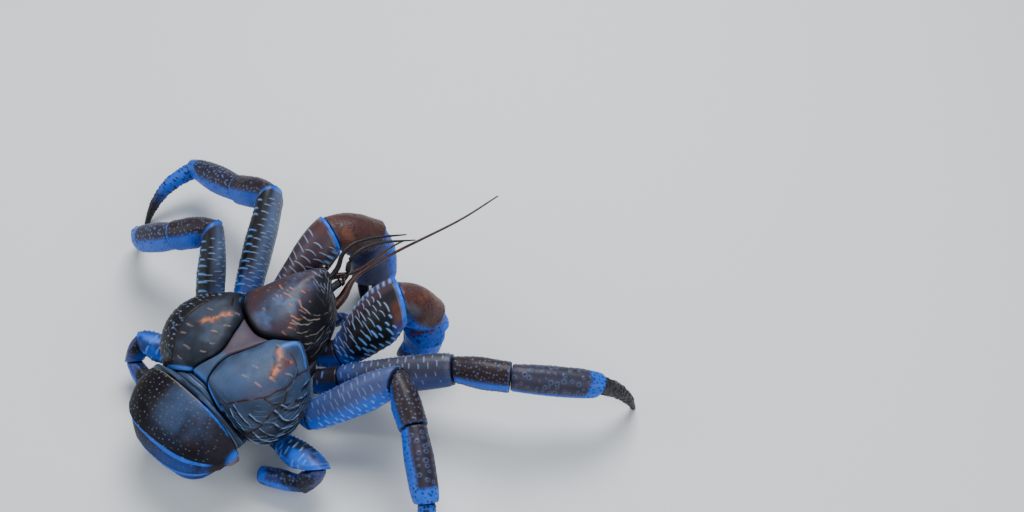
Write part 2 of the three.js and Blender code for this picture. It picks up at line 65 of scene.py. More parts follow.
def set_mask(mesh, name, values):
    """Stores one value per vertex for the materials."""
    layer = mesh.attributes.get(name) or mesh.attributes.new(name, "FLOAT", "POINT")
    full = np.broadcast_to(np.clip(values, 0, 1), (len(mesh.vertices),))
    layer.data.foreach_set("value", full.astype(np.float32))


def apply_modifiers(obj):
    """Bakes the modifiers of obj into its mesh."""
    bpy.context.view_layer.update()
    graph = bpy.context.evaluated_depsgraph_get()
    mesh = bpy.data.meshes.new_from_object(obj.evaluated_get(graph))
    old = obj.data
    obj.modifiers.clear()
    obj.data = mesh
    bpy.data.meshes.remove(old)


def smooth_copy(node, voxel=0.55, levels=2, soften=6, crease=48):
    """A rounded, finely meshed copy of a CAD node that stands for it."""
    bm = bmesh.new()
    bm.from_mesh(nodes[node].data)
    bmesh.ops.remove_doubles(bm, verts=bm.verts, dist=2e-5)
    bmesh.ops.join_triangles(
        bm, faces=bm.faces, cmp_seam=False, cmp_sharp=False, cmp_uvs=False,
        cmp_vcols=False, cmp_materials=False,
        angle_face_threshold=math.radians(35), angle_shape_threshold=math.radians(75))
    sharp = bm.edges.layers.float.new("crease_edge")
    for edge in bm.edges:
        if len(edge.link_faces) == 2 and edge.calc_face_angle() > math.radians(crease):
            edge[sharp] = 0.8
    mesh = bpy.data.meshes.new(node + "_shell")
    bm.to_mesh(mesh)
    bm.free()
    obj = bpy.data.objects.new(node + "_shell", mesh)
    bpy.context.scene.collection.objects.link(obj)
    rounding = obj.modifiers.new("rounding", "SUBSURF")
    rounding.levels = rounding.render_levels = levels
    if voxel:
        apply_modifiers(obj)
        remesh = obj.modifiers.new("remesh", "REMESH")
        remesh.mode = "VOXEL"
        remesh.voxel_size = voxel * MM
        soft = obj.modifiers.new("soften", "SMOOTH")
        soft.factor = 0.5
        soft.iterations = soften
    apply_modifiers(obj)
    obj.data.materials.clear()
    obj.data.polygons.foreach_set("use_smooth", [True] * len(obj.data.polygons))
    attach(obj, "root")
    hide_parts(node)
    return obj


def ease(t):
    t = np.clip(t, 0, 1)
    return t * t * (3 - 2 * t)


def corner_value(i, j, k, seed):
    h = (i * 374761393 + j * 668265263 + k * 1442695041 + seed * 974634777) & 0xFFFFFFFF
    h = ((h ^ (h >> 13)) * 1274126177) & 0xFFFFFFFF
    return ((h ^ (h >> 16)) & 0xFFFF) / 65535.0


def cloud(p, size, seed=0):
    """Smooth uneven values from 0 to 1 with lumps of that size."""
    q = p / size
    i = np.floor(q).astype(np.int64)
    f = q - i
    f = f * f * (3 - 2 * f)
    total = np.zeros(len(p))
    for dx in (0, 1):
        for dy in (0, 1):
            for dz in (0, 1):
                w = ((f[:, 0] if dx else 1 - f[:, 0]) * (f[:, 1] if dy else 1 - f[:, 1])
                     * (f[:, 2] if dz else 1 - f[:, 2]))
                total += w * corner_value(i[:, 0] + dx, i[:, 1] + dy, i[:, 2] + dz, seed)
    return total


def rough_cloud(p, size, seed=0):
    """cloud with two finer layers on top."""
    return (cloud(p, size, seed) + 0.5 * cloud(p, size / 2.1, seed + 7) + 0.25 * cloud(p, size / 4.3, seed + 13)) / 1.75


def strokes(u, v, marks):
    """Short raised lines. Each mark is u, v, half length, half width, angle, bend."""
    ink = np.zeros(len(u))
    for (cu, cv, half, width, angle, bend) in marks:
        near = (np.abs(u - cu) < half + 3) & (np.abs(v - cv) < half + 3)
        if not near.any():
            continue
        du, dv = u[near] - cu, v[near] - cv
        c, s = math.cos(angle), math.sin(angle)
        run = du * s + dv * c
        off = du * c - dv * s + bend * (run / half) ** 2
        taper = np.sqrt(np.clip(1 - (run / half) ** 2, 0, 1))
        value = np.exp(-(off / (width * (0.35 + 0.65 * taper))) ** 2) * ease((1 - np.abs(run) / half) * 4)
        ink[near] = np.maximum(ink[near], value)
    return ink


def scattered(rng, us, vs, step_u, step_v, half, width, angle=0.0, bend=0.0, jitter=0.3, keep=1.0):
    """Staggered rows of marks over a patch."""
    marks = []
    row = 0
    u = us[0]
    while u <= us[1]:
        v = vs[0] + (row % 2) * step_v / 2
        while v <= vs[1]:
            if rng.random() < keep:
                marks.append((
                    u + rng.normal() * jitter * step_u * 0.5, v + rng.normal() * jitter * step_v * 0.6,
                    half * rng.uniform(0.55, 1.35), width * rng.uniform(0.8, 1.2),
                    angle + rng.normal() * 0.12, bend * rng.uniform(0.6, 1.3)))
            v += step_v
        u += step_u
        row += 1
    return marks


def dots(u, v, cell, seed, size, keep=1.0):
    """Scattered round dots, one to a cell, from 0 to 1."""
    best = np.zeros(len(u))
    i0 = np.floor(u / cell).astype(np.int64)
    j0 = np.floor(v / cell).astype(np.int64)
    for di in (-1, 0, 1):
        for dj in (-1, 0, 1):
            i, j = i0 + di, j0 + dj
            cu = (i + 0.15 + 0.7 * corner_value(i, j, i * 0 + 3, seed)) * cell
            cv = (j + 0.15 + 0.7 * corner_value(i, j, i * 0 + 5, seed)) * cell
            r = size * (0.6 + 0.8 * corner_value(i, j, i * 0 + 9, seed))
            on = corner_value(i, j, i * 0 + 11, seed) < keep
            d = np.hypot(u - cu, v - cv)
            best = np.maximum(best, on * ease(1.6 - d / r))
    return best


def rounded(line, steps=5):
    """Points of a smooth curve through the points of a line."""
    line = [np.array(q, float) for q in line]
    ends = [2 * line[0] - line[1], *line, 2 * line[-1] - line[-2]]
    curve = []
    for a, b, c, d in zip(ends, ends[1:], ends[2:], ends[3:]):
        for k in range(steps):
            t = k / steps
            curve.append(0.5 * (2 * b + (c - a) * t + (2 * a - 5 * b + 4 * c - d) * t * t
                                + (3 * b - a - 3 * c + d) * t ** 3))
    return [*curve, line[-1]]


def distance_to(p, lines, reach=6.0, wobble=0.35):
    """Distance from each place to the nearest of the lines, at most reach."""
    q = p + wobble * (np.stack([cloud(p, 2.6, k) for k in (1, 2, 3)], 1) - 0.5)
    best = np.full(len(p), reach)
    for line in lines:
        curve = rounded(line)
        for a, b in zip(curve, curve[1:]):
            near = np.abs(q - (a + b) / 2).max(1) < reach + np.abs(b - a).max()
            if not near.any():
                continue
            ab = b - a
            t = np.clip(((q[near] - a) @ ab) / max(ab @ ab, 1e-9), 0, 1)
            best[near] = np.minimum(best[near], np.linalg.norm(q[near] - a - t[:, None] * ab, axis=1))
    return best


def line_ink(distance, width):
    """1 on a traced line, falling to 0 beside it."""
    return np.exp(-(distance / width) ** 2)


def contours(value, spacing, width):
    """Thin lines wherever value passes a multiple of spacing."""
    off = (value / spacing + 0.5) % 1.0 - 0.5
    return np.exp(-(off * spacing / width) ** 2)


class Value:
    """A socket that can be used in Python expressions."""

    def __init__(self, shader, socket):
        self.shader = shader
        self.socket = socket

    def _math(self, operation, *others):
        return self.shader.node("ShaderNodeMath", {"operation": operation}, [self, *others])

    def __add__(self, other):
        return self._math("ADD", other)

    __radd__ = __add__

    def __mul__(self, other):
        return self._math("MULTIPLY", other)

    __rmul__ = __mul__

    def __sub__(self, other):
        return self._math("SUBTRACT", other)

    def __rsub__(self, other):
        return self.shader.node("ShaderNodeMath", {"operation": "SUBTRACT"}, [other, self])

    def clamped(self):
        return self.shader.node("ShaderNodeClamp", {}, [self])

    def span(self, low, high):
        """0 below low, 1 above high, eased between."""
        return self.shader.node(
            "ShaderNodeMapRange", {"interpolation_type": "SMOOTHSTEP"}, [self, low, high, 0.0, 1.0])


class Shader:
    """A material under construction."""

    def __init__(self, name):
        self.material = bpy.data.materials.new(name)
        self.material.use_nodes = True
        self.tree = self.material.node_tree
        self.surface = self.tree.nodes["Principled BSDF"]
        self.place = self.node("ShaderNodeTexCoord", {}, [], "Object")

    def node(self, kind, settings, inputs, output=0):
        made = self.tree.nodes.new(kind)
        for key, value in settings.items():
            setattr(made, key, value)
        pairs = inputs.items() if isinstance(inputs, dict) else enumerate(inputs)
        for key, value in pairs:
            if isinstance(value, Value):
                self.tree.links.new(value.socket, made.inputs[key])
            elif value is not None:
                made.inputs[key].default_value = value
        return Value(self, made.outputs[output])

    def mask(self, name):
        return self.node("ShaderNodeAttribute", {"attribute_name": name}, [], "Fac")

    def noise(self, scale, detail=3.0, rough=0.55):
        return self.node("ShaderNodeTexNoise", {}, {
            "Vector": self.place, "Scale": scale, "Detail": detail, "Roughness": rough}, 0)

    def cells(self, scale):
        return self.node("ShaderNodeTexVoronoi", {}, {"Vector": self.place, "Scale": scale}, "Distance")

    def mix(self, factor, a, b):
        """Colour a where factor is 0, b where it is 1."""
        made = self.tree.nodes.new("ShaderNodeMix")
        made.data_type = "RGBA"
        for socket, value in ((made.inputs[0], factor), (made.inputs[6], a), (made.inputs[7], b)):
            if isinstance(value, Value):
                self.tree.links.new(value.socket, socket)
            else:
                socket.default_value = value if isinstance(value, float) else (*value, 1.0)
        return Value(self, made.outputs[2])

    def finish(self, colour, rough, height, strength=0.35, distance=0.0004, **fixed):
        for key, value in fixed.items():
            self.surface.inputs[key.replace("_", " ")].default_value = value
        for key, value in (("Base Color", colour), ("Roughness", rough)):
            if isinstance(value, Value):
                self.tree.links.new(value.socket, self.surface.inputs[key])
            else:
                self.surface.inputs[key].default_value = value
        bump = self.node("ShaderNodeBump", {}, {"Strength": strength, "Distance": distance, "Height": height})
        self.tree.links.new(bump.socket, self.surface.inputs["Normal"])
        return self.material


NIGHT = (0.004, 0.003, 0.005)
PURPLE = (0.022, 0.016, 0.027)
SLATE = (0.019, 0.032, 0.058)
# painted sheen colour: the bluish light of the sky on the shield, back and tail, partly their own grey-blue tone
SHEEN_BLUE = (0.070, 0.125, 0.26)
# painted sheen colour of the limbs: their sides that face the light, and a few greyish patches
SHEEN_LILAC = (0.096, 0.100, 0.155)
COBALT = (0.002, 0.110, 0.68)
PALE = (0.19, 0.45, 1.0)
RUST = (0.095, 0.027, 0.014)
TAN = (0.54, 0.17, 0.070)
BEIGE = (0.46, 0.40, 0.33)


def crab_shell(name, ground, second, painted_sheen, gloss, shine):
    """Hard shell. The masks carved with each piece say where its colours lie. The sheen mask lays on a painted sheen,
    partly the shell's own greyish tone, and the dark mask holds painted shade as well as dark colour.
    """
    s = Shader(name)
    broad = s.noise(70.0, 4.0, 0.6)
    fine = s.noise(420.0, 3.0, 0.65)
    grit = s.noise(1700.0, 2.0, 0.6)
    pits = s.cells(900.0)
    colour = s.mix(broad.span(0.35, 0.65), ground, second)
    # painted sheen, laid where the sheen mask says
    colour = s.mix((s.mask("sheen") * (0.55 + 0.55 * broad)).clamped(), colour, painted_sheen)
    colour = s.mix((s.mask("blue") * (0.72 + 0.5 * fine)).clamped(), colour, COBALT)
    colour = s.mix((s.mask("rust") * (0.5 + 0.9 * fine)).clamped(), colour, RUST)
    # dark colour, which also carries the painted shade that the pieces put in the dark mask
    colour = s.mix(s.mask("dark"), colour, NIGHT)
    colour = s.mix((s.mask("pale") * (0.7 + 0.5 * grit)).clamped(), colour, PALE)
    colour = s.mix(s.mask("beige"), colour, BEIGE)
    colour = s.mix((s.mask("tan") * (0.5 + 0.9 * fine)).clamped(), colour, TAN)
    colour = s.mix((1 - pits.span(0.08, 0.3)) * 0.35, colour, NIGHT)
    rough = gloss + 0.2 * fine + 0.08 * s.mask("dark")
    height = 0.5 * fine + 0.4 * pits.span(0.05, 0.4) + 0.22 * grit
    return s.finish(colour, rough, height, 0.3, 0.0003, Coat_Weight=0.06, Coat_Roughness=0.2, Specular_IOR_Level=shine)


def plain_skin(name, low, high, rough=0.6, scale=220.0, strength=0.4):
    s = Shader(name)
    grain = s.noise(scale, 5.0, 0.6)
    pits = s.cells(scale * 3)
    return s.finish(s.mix(grain.span(0.3, 0.7), low, high), rough, grain + 0.4 * pits, strength, 0.0005)


def eye_gloss(name):
    s = Shader(name)
    facets = s.cells(3600.0)
    colour = s.mix(s.noise(600.0).span(0.3, 0.7), (0.006, 0.002, 0.002), (0.030, 0.007, 0.006))
    return s.finish(colour, 0.16, facets, 0.06, 0.0001)


def feeler_rings(name, low, high):
    """Fine rings along the feelers, drawn by their own lengthwise attribute."""
    s = Shader(name)
    along = s.mask("along")
    rings = s.node("ShaderNodeMath", {"operation": "SINE"}, [along * 900.0])
    colour = s.mix(rings.span(-0.4, 0.6), low, high)
    return s.finish(colour, 0.42, rings, 0.5, 0.0002)


MATERIALS = {
    "shield": crab_shell("shield_shell", PURPLE, (0.026, 0.022, 0.042), SHEEN_BLUE, 0.38, 0.34),
    "back": crab_shell("back_shell", SLATE, (0.026, 0.036, 0.060), SHEEN_BLUE, 0.44, 0.24),
    "tail": crab_shell("tail_shell", (0.011, 0.008, 0.013), (0.019, 0.016, 0.026), SHEEN_BLUE, 0.5, 0.12),
    "limb": crab_shell("limb_shell", (0.015, 0.010, 0.016), (0.027, 0.021, 0.038), SHEEN_LILAC, 0.35, 0.32),
    "skin": plain_skin("belly_skin", (0.10, 0.06, 0.07), (0.20, 0.13, 0.14)),
    "under": plain_skin("under_shell", (0.012, 0.010, 0.014), (0.045, 0.035, 0.05), 0.5),
    "eye": eye_gloss("eye_gloss"),
    "feeler": feeler_rings("feeler_rings", (0.022, 0.006, 0.005), (0.085, 0.024, 0.016)),
    "feeler_dark": feeler_rings("feeler_dark_rings", (0.004, 0.003, 0.004), (0.016, 0.012, 0.015)),
}
# sheen is a painted sheen, partly the shell's own tone; dark is dark colour and painted shade
MASKS = ("blue", "sheen", "rust", "dark", "pale", "beige", "tan")


def carved(obj, height, masks, material):
    """Moves the surface by height along its normals, stores its masks and gives it its finish."""
    places, normals = mesh_arrays(obj.data)
    set_places(obj.data, places + normals * height[:, None])
    for name in MASKS:
        set_mask(obj.data, name, masks.get(name, 0.0))
    obj.data.materials.append(MATERIALS[material])
    return obj


JOINTS = {
    "leg2_right": [(25, 11.5, 22), (36.5, 19.5, 26), (79.9, 57.8, 38.5), (105.1, 72.3, 41), (137.3, 102.4, 34), (146, 121.8, 0)],
    "leg2_left": [(-25, 11.5, 22), (-36.5, 19.5, 26), (-62.2, 65.1, 51.1), (-87.6, 62.9, 37.2), (-128, 63, 22), (-133.3, 26.6, 0)],
    "leg3_right": [(26, -3.4, 21.8), (39.5, -4, 22.4), (68.5, 30.2, 47.5), (90.5, 18.5, 41), (120, -3, 31), (133, -19, 0)],
    "leg3_left": [(-26, -3, 22), (-39.8, -3.5, 22), (-66, 28, 53), (-84, 16, 43.5), (-109, 9.3, 25), (-124, 17, 0)],
    "leg4_right": [(24, -24, 20.5), (38, -24, 19.5), (65.5, -22.7, 23.5), (60.5, -31, 14), (39, -40, 10)],
    "leg4_left": [(-24, -24, 20.5), (-38, -24, 19.5), (-57.5, -33.5, 24), (-57.5, -41, 14), (-40, -45, 9.5)],
    "claw_right": [(14.5, 24, 23), (24.5, 31, 25.5), (36, 63.5, 51.5), (44.5, 74.5, 35.5), (42.5, 70.5, 11.5)],
    "claw_left": [(-14.5, 24, 23), (-24.5, 33, 25), (-20.8, 68.8, 51.5), (-12.5, 89.5, 37), (-5.5, 82.5, 13)],
}
WALK_PARTS = ("ischium", "merus", "carpus", "propodus", "dactylus")
CLAW_PARTS = ("ischium", "merus", "carpus", "palm")


def joint_plane(joints, k):
    """Direction of the cut through joint k."""
    ways = [np.subtract(b, a) / np.linalg.norm(np.subtract(b, a)) for a, b in zip(joints, joints[1:])]
    way = ways[max(0, k - 1)] + ways[min(k, len(ways) - 1)]
    return way / np.linalg.norm(way)


class Limb:
    """Lengthwise and round-about coordinates of one article of a limb."""

    def __init__(self, places, joints, k):
        a, b = np.array(joints[k], float), np.array(joints[k + 1], float)
        self.length = np.linalg.norm(b - a)
        d = (b - a) / self.length
        side = np.cross(d, (0, 0, 1))
        side /= np.linalg.norm(side)
        top = np.cross(side, d)
        self.places = places
        q = places - a
        self.s = q @ d
        x, y = q @ side, q @ top
        self.angle = np.degrees(np.arctan2(y, x))
        self.radius = float(np.median(np.hypot(x, y)))
        self.v = self.mm(self.angle)
        self.round = 2 * math.pi * self.radius
        self.t = self.s / self.length
        self.from_root = q @ joint_plane(joints, k)
        self.from_tip = (b - places) @ joint_plane(joints, k + 1)
        self.inside = ease((np.minimum(self.from_root, self.from_tip) - 0.15) / 0.8)

    def mm(self, angle):
        """Distance round the limb from its underside to that angle."""
        return np.radians((angle + 90) % 360) * self.radius

    def facing(self, middle, half, soft=18):
        """1 on the strip of the limb centred on that angle: 0 is its side, 90 its top."""
        off = np.abs((self.angle - middle + 180) % 360 - 180)
        return ease((half + soft - off) / soft)

    def rows(self, rng, step, angles, half, width, bend=0.3, tilt=0.0, start=2.5, stop=3.5, keep=0.92):
        """Marks across the limb, at those angles in every second row and between them in the others."""
        marks = []
        s, row = start, 0
        while s < self.length - stop:
            for k, angle in enumerate(angles):
                if (row + k) % 2 or rng.random() > keep:
                    continue
                grow = 0.72 + 0.4 * math.sin(math.pi * min(1, s / self.length + 0.15))
                marks.append((s + rng.normal() * step * 0.1, self.mm(angle) + rng.normal() * 0.5,
                              half * grow * rng.uniform(0.65, 1.3), width * rng.uniform(0.8, 1.2),
                              tilt + rng.normal() * 0.09, bend * rng.uniform(0.5, 1.4)))
            s += step / 2
            row += 1
        return marks

    def beads(self, spacing, angle, half=7):
        """A row of small knobs along one edge."""
        return (0.5 + 0.5 * np.cos(2 * math.pi * self.s / spacing)) ** 2 * self.facing(angle, half * 0.3, half)


# Where the colours lie round each limb: angles of its sides and rows, and how strong they are. The lit angle is the
# side that faces the light; it gets a painted sheen and, on some limbs, painted blue, and the side away from it gets
# painted shade.
LOOKS = {
    "leg2_right": {"lit_blue": 0.0, "ring": 0.05, "near": -10, "lit": 88, "edge": 132, "black": None, "rusty": 0, "short": (), "long": (20, 46, 72, 98, 124),
                   "step": 5.2, "reach": 1.7, "bow": 0.2, "blue": 0.3, "base": 0.6, "painted_sheen": 0.55, "ink": 0.5},
    "leg3_right": {"lit_blue": 0.16, "ring": 0.08, "near": -15, "lit": 85, "edge": 128, "black": None, "rusty": 0, "short": (-30, 6), "long": (36, 62, 90, 118),
                   "step": 4.6, "reach": 1.8, "bow": 0.3, "blue": 1.0, "base": 0.5, "painted_sheen": 1.0, "ink": 0.5},
    "leg4_right": {"lit_blue": 0.3, "ring": 0.6, "near": 30, "lit": 300, "edge": 160, "black": None, "rusty": 0, "short": (20, 60, 100), "long": (140, 170),
                   "step": 4.4, "reach": 2.2, "bow": 0.3, "blue": 1.0, "base": 0.8, "painted_sheen": 0.2, "ink": 0.5},
    "leg2_left": {"lit_blue": 0.0, "ring": 0.8, "near": 180, "lit": 42, "edge": 12, "black": 132, "rusty": 0, "short": (104, 134, 164), "long": (28, 52, 78),
                  "step": 4.2, "reach": 2.0, "bow": 0.25, "blue": 0.35, "base": 0.9, "painted_sheen": 0.8, "ink": 0.4},
    "leg3_left": {"lit_blue": 0.0, "ring": 0.8, "near": 180, "lit": 42, "edge": 12, "black": 132, "rusty": 0, "short": (104, 134, 164), "long": (28, 52, 78),
                  "step": 4.2, "reach": 2.0, "bow": 0.25, "blue": 0.35, "base": 0.9, "painted_sheen": 0.8, "ink": 0.4},
    "leg4_left": {"lit_blue": 0.3, "ring": 0.6, "near": 120, "lit": 300, "edge": 20, "black": None, "rusty": 0, "short": (60, 100, 140, 170), "long": (20, 200),
                  "step": 4.4, "reach": 2.2, "bow": 0.3, "blue": 1.0, "base": 0.8, "painted_sheen": 0.2, "ink": 0.5},
    "claw_right": {"lit_blue": 0.0, "ring": 1.0, "near": -40, "lit": 112, "edge": 138, "black": 40, "rusty": 30, "short": (-20, 0, 20, 38), "long": (60, 86, 112),
                   "step": 4.2, "reach": 3.7, "bow": 0.6, "blue": 0.95, "base": 0.85, "painted_sheen": 0.45, "ink": 0.75},
    "claw_left": {"lit_blue": 0.0, "ring": 1.0, "near": -75, "lit": 80, "edge": 12, "black": None, "rusty": 100, "short": (), "long": (26, 66, 112),
                  "step": 5.4, "reach": 4.8, "bow": 1.1, "blue": 0.5, "base": 0.15, "painted_sheen": 0.4, "ink": 0.7},
}


def merus_look(name, limb, uneven, rng):
    """Upper arm: pale strokes across it, a beaded edge and a bright far rim, with a painted sheen on its side that
    faces the light and painted shade on the side away from it.
    """
    look = LOOKS[name]
    claw = name.startswith("claw")
    bold = strokes(limb.s, limb.v, limb.rows(rng, look["step"], look["short"], 2.2, 0.5, 0.35))
    fine = strokes(limb.s, limb.v, limb.rows(rng, look["step"] * 0.88, look["long"], look["reach"], 0.24, look["bow"]))
    beads = limb.beads(3.3 if claw else 2.3, look["edge"], 13 if claw else 6)
    wide = name in ("leg2_left", "leg3_left")
    collar = ease(((2.7 if claw else 3.2 if wide else 2.0) + 2.2 * (uneven - 0.5) - limb.from_tip) / 0.8) * look["ring"]
    lip = line_ink(limb.from_tip - 2.9, 0.3) * ease((uneven - 0.45) / 0.1) * look["ring"]
    base = ease(1.1 - limb.from_root / (limb.length * 0.36)) * look["base"]
    near = limb.facing(look["near"], 40, 34) * look["blue"]
    # the side that faces the light: painted sheen and lighter marks go here, painted shade goes away from it
    lit = limb.facing(look["lit"], 46, 32)
    black = limb.facing(look["black"], 48, 26) if look["black"] is not None else 0.0
    free = 1 - collar
    height = 0.34 * (uneven - 0.5) + 0.32 * bold + 0.2 * fine + 0.42 * beads + 0.1 * lip
    height += 0.14 * collar if claw else -0.45 * ease((3.2 - limb.from_tip) / 3)
    patch = ease((5.5 - np.abs(limb.from_tip - 5)) / 5) * limb.facing(look["rusty"], 16, 26) * claw
    # Painted light and shade: the dark mask lays painted shade on the side away from the light, and the sheen, blue
    # and, on the two left legs, pale masks lay painted light on the lit side.
    masks = {
        "dark": np.clip((0.95 * black * (1 - base) + 0.6 * (1 - lit) * (1 - near) * (1 - base)) * free * (1 - patch), 0, 1),
        "blue": np.clip((near + base) * (1 - 0.6 * lit) * free * (0.6 + 0.7 * uneven) + collar * (0.7 + 0.5 * uneven)
                        + look["lit_blue"] * lit, 0, 1),
        "sheen": np.clip(look["painted_sheen"] * lit * free * (0.4 + 1.0 * uneven) + 0.3 * lip, 0, 1),
        "pale": np.clip((0.95 * bold * (1 - 0.5 * lit) + look["ink"] * fine) * free * (0.65 + 0.45 * uneven)
                        + 0.75 * beads * free * (1 - 0.4 * lit * (not claw)) + 0.16 * wide * lit * uneven * (1 - black), 0, 1),
        "rust": np.clip((0.4 * claw * (1 - near) * (1 - base) + 0.85 * patch * uneven) * free + 0.3 * lip, 0, 1),
        "beige": np.clip(0.3 * fine * lit * free + 0.25 * lip + 0.16 * fine * claw, 0, 1),
    }
    return height, masks


def carpus_look(name, limb, uneven, rng):
    """Wrist: brown above with fine grain, blue along its near side and its ends."""
    look = LOOKS[name]
    claw = name.startswith("claw")
    end = 1.0 + 1.4 * uneven
    rim = np.clip(ease((end - limb.from_tip) / 0.7) + ease((0.5 * end - limb.from_root) / 0.5), 0, 1)
    near = limb.facing(look["near"] if claw else (180 if name.endswith("left") else 0), 10 if name == "leg2_right" else 34, 24)
    rim = rim * max(look["ring"], 0.25)
    near = near * ease((uneven - 0.2) / 0.2)
    grains = dots(limb.s, limb.v, 1.7 if claw else 1.9, 5, 0.34, 0.75)
    top = 1 - np.clip(near + rim, 0, 1)
    lilac = limb.facing(look["near"] + (50 if claw else 90), 18, 26) * ease((0.5 - limb.t) / 0.3) * claw
    height = 0.34 * (uneven - 0.5) + (-0.14 if claw else 0.2) * grains + (0.14 if claw else 0.04) * rim
    height += 0.3 * rough_cloud(limb.places, 3, 8) * claw
    masks = {
        "rust": top * (0.9 if claw else 0.45) * (0.5 + 0.5 * uneven) * (1 - lilac),
        "blue": np.clip(near + rim, 0, 1) * (0.6 + 0.5 * uneven),
        "dark": np.clip(top * (0.05 if claw else 0.55) * (1 - grains) + (0.85 if claw else 0.2) * grains * ease((uneven + 0.3 * limb.t - 0.5) / 0.08), 0, 1),
        "pale": (0.0 if claw else 0.2) * grains * (1 - 0.5 * near),
        "sheen": 0.6 * lilac,
        "tan": 0.16 * top * ease((uneven - 0.55) / 0.2) * claw,
    }
    return height, masks


def propodus_look(name, limb, uneven, rng):
    """Next article: bright blue with dark pits, and a dark, pale-dotted patch above."""
    claw = name.startswith("claw")
    ringed = name in ("leg2_right", "leg3_right")
    middle = 70 if name == "leg2_right" else 118 if name == "leg3_right" else 92
    reach = 66 if name == "leg2_right" else 42
    edge = limb.facing(middle, reach + 14 * (uneven - 0.5), 20)
    patch = edge * ease((limb.from_tip - limb.length * (0.1 + 0.12 * uneven)) / 2.5) * (not claw)
    pits = dots(limb.s, limb.v, 2.1, 8, 0.42, 0.7)
    cell, size = (3.4, 0.85) if ringed else (2.2, 0.4)
    rings = dots(limb.s, limb.v, cell, 21, size, 0.85) * patch
    cores = dots(limb.s, limb.v, cell, 21, size * 0.55, 0.85) * patch * ringed
    height = 0.3 * (uneven - 0.5) - 0.14 * pits * (1 - patch) + 0.2 * rings
    lilac = limb.facing(62, 66, 30) * (name == "claw_left")
    if claw:
        height = height + 0.2 * dots(limb.s, limb.v, 2.9, 17, 0.45, 0.6) * (1 - lilac)
    rust = ease((limb.length * 0.3 - limb.from_root) / 4) * ease((cloud(limb.places, 4, 9) - 0.4) / 0.2) * claw * (1 - lilac)
    masks = {
        "blue": np.clip((1 - 0.95 * patch) * (1 - 0.92 * lilac) * (0.55 + 0.7 * uneven), 0, 1),
        "dark": np.clip(pits * 0.85 * (1 - patch) * (1 - 0.6 * lilac)
                        + (0.45 if name == "leg2_right" else 0.75) * patch * (1 - rings) * (1.2 - 0.8 * uneven) + cores * 0.8, 0, 1),
        "pale": np.clip((0.13 if ringed else 0.28) * np.clip(rings - cores, 0, 1) + 0.1 * limb.facing(middle + 180, 40, 40), 0, 1),
        "sheen": np.clip((0.22 if name == "leg2_right" else 0.1) * patch + 0.75 * lilac * (0.5 + 0.8 * uneven), 0, 1),
        "rust": np.clip(0.45 * patch * uneven + 0.8 * rust, 0, 1),
    }
    return height, masks


def limb_look(name, part, limb, places, rng):
    """Height and masks of one article."""
    uneven = rough_cloud(places, 9, 3)
    if part == "merus":
        height, masks = merus_look(name, limb, uneven, rng)
    elif part == "carpus":
        height, masks = carpus_look(name, limb, uneven, rng)
    elif part in ("propodus", "palm"):
        height, masks = propodus_look(name, limb, uneven, rng)
    elif part == "dactylus":
        specks = dots(limb.s, limb.v, 1.8, 4, 0.5, 0.85)
        fade = ease((limb.t - 0.35) / 0.4) if name != "leg2_right" else ease((limb.t + 0.35) / 0.4)
        height = 0.34 * specks * ease((limb.from_tip - 4) / 6)
        masks = {"blue": 0.85 * (1 - fade), "dark": np.clip(0.9 * specks + 0.5 * fade, 0, 1), "sheen": 0.12 * (1 - fade)}
    else:
        ink = strokes(limb.s, limb.v, limb.rows(rng, 4.4, tuple(range(-80, 280, 40)), 1.8, 0.4))
        height = 0.28 * ink
        masks = {"blue": 0.6 * limb.facing(-90, 110, 40), "pale": 0.5 * ink}
    if name.startswith("leg4"):
        masks["blue"] = np.clip(0.6 * masks.get("blue", 0) + 0.75 * uneven, 0, 1)
        masks["dark"] = np.clip(masks.get("dark", 0) * 0.5 + 0.7 * ease((0.5 - uneven) / 0.15), 0, 1)
        masks["sheen"] = masks.get("sheen", 0) * 0.4
        masks["pale"] = masks.get("pale", 0) * 0.55
    seam = ease((0.7 - np.minimum(limb.from_root, limb.from_tip)) / 0.4)
    masks["dark"] = np.clip(masks.get("dark", 0) + 0.8 * seam, 0, 1)
    return (height - 0.35 * ease((1.8 - limb.from_root) / 1.6)) * limb.inside, masks


def dress_limbs():
    for name, joints in JOINTS.items():
        parts = CLAW_PARTS if name.startswith("claw") else WALK_PARTS
        for k, part in enumerate(parts[:len(joints) - 1]):
            node = f"{name}_{part}"
            fine = {"merus": 0.38, "carpus": 0.4, "propodus": 0.4, "palm": 0.4, "dactylus": 0.34, "ischium": 0.5}
            obj = smooth_copy(node, fine[part])
            places, _ = mesh_arrays(obj.data)
            limb = Limb(places, joints, k)
            rng = np.random.default_rng(sum(ord(letter) * (n + 3) for n, letter in enumerate(node)))
            height, masks = limb_look(name, part, limb, places, rng)
            name.startswith("claw") and part == "carpus"
            carved(obj, height, masks, "limb")
    for side in ("right", "left"):
        obj = smooth_copy(f"claw_{side}_finger", 0.36)
        places, _ = mesh_arrays(obj.data)
        specks = dots(places[:, 0], places[:, 2], 2.0, 4, 0.5)
        carved(obj, 0.15 * specks, {"blue": np.full(len(places), 0.85), "dark": 0.8 * specks}, "limb")


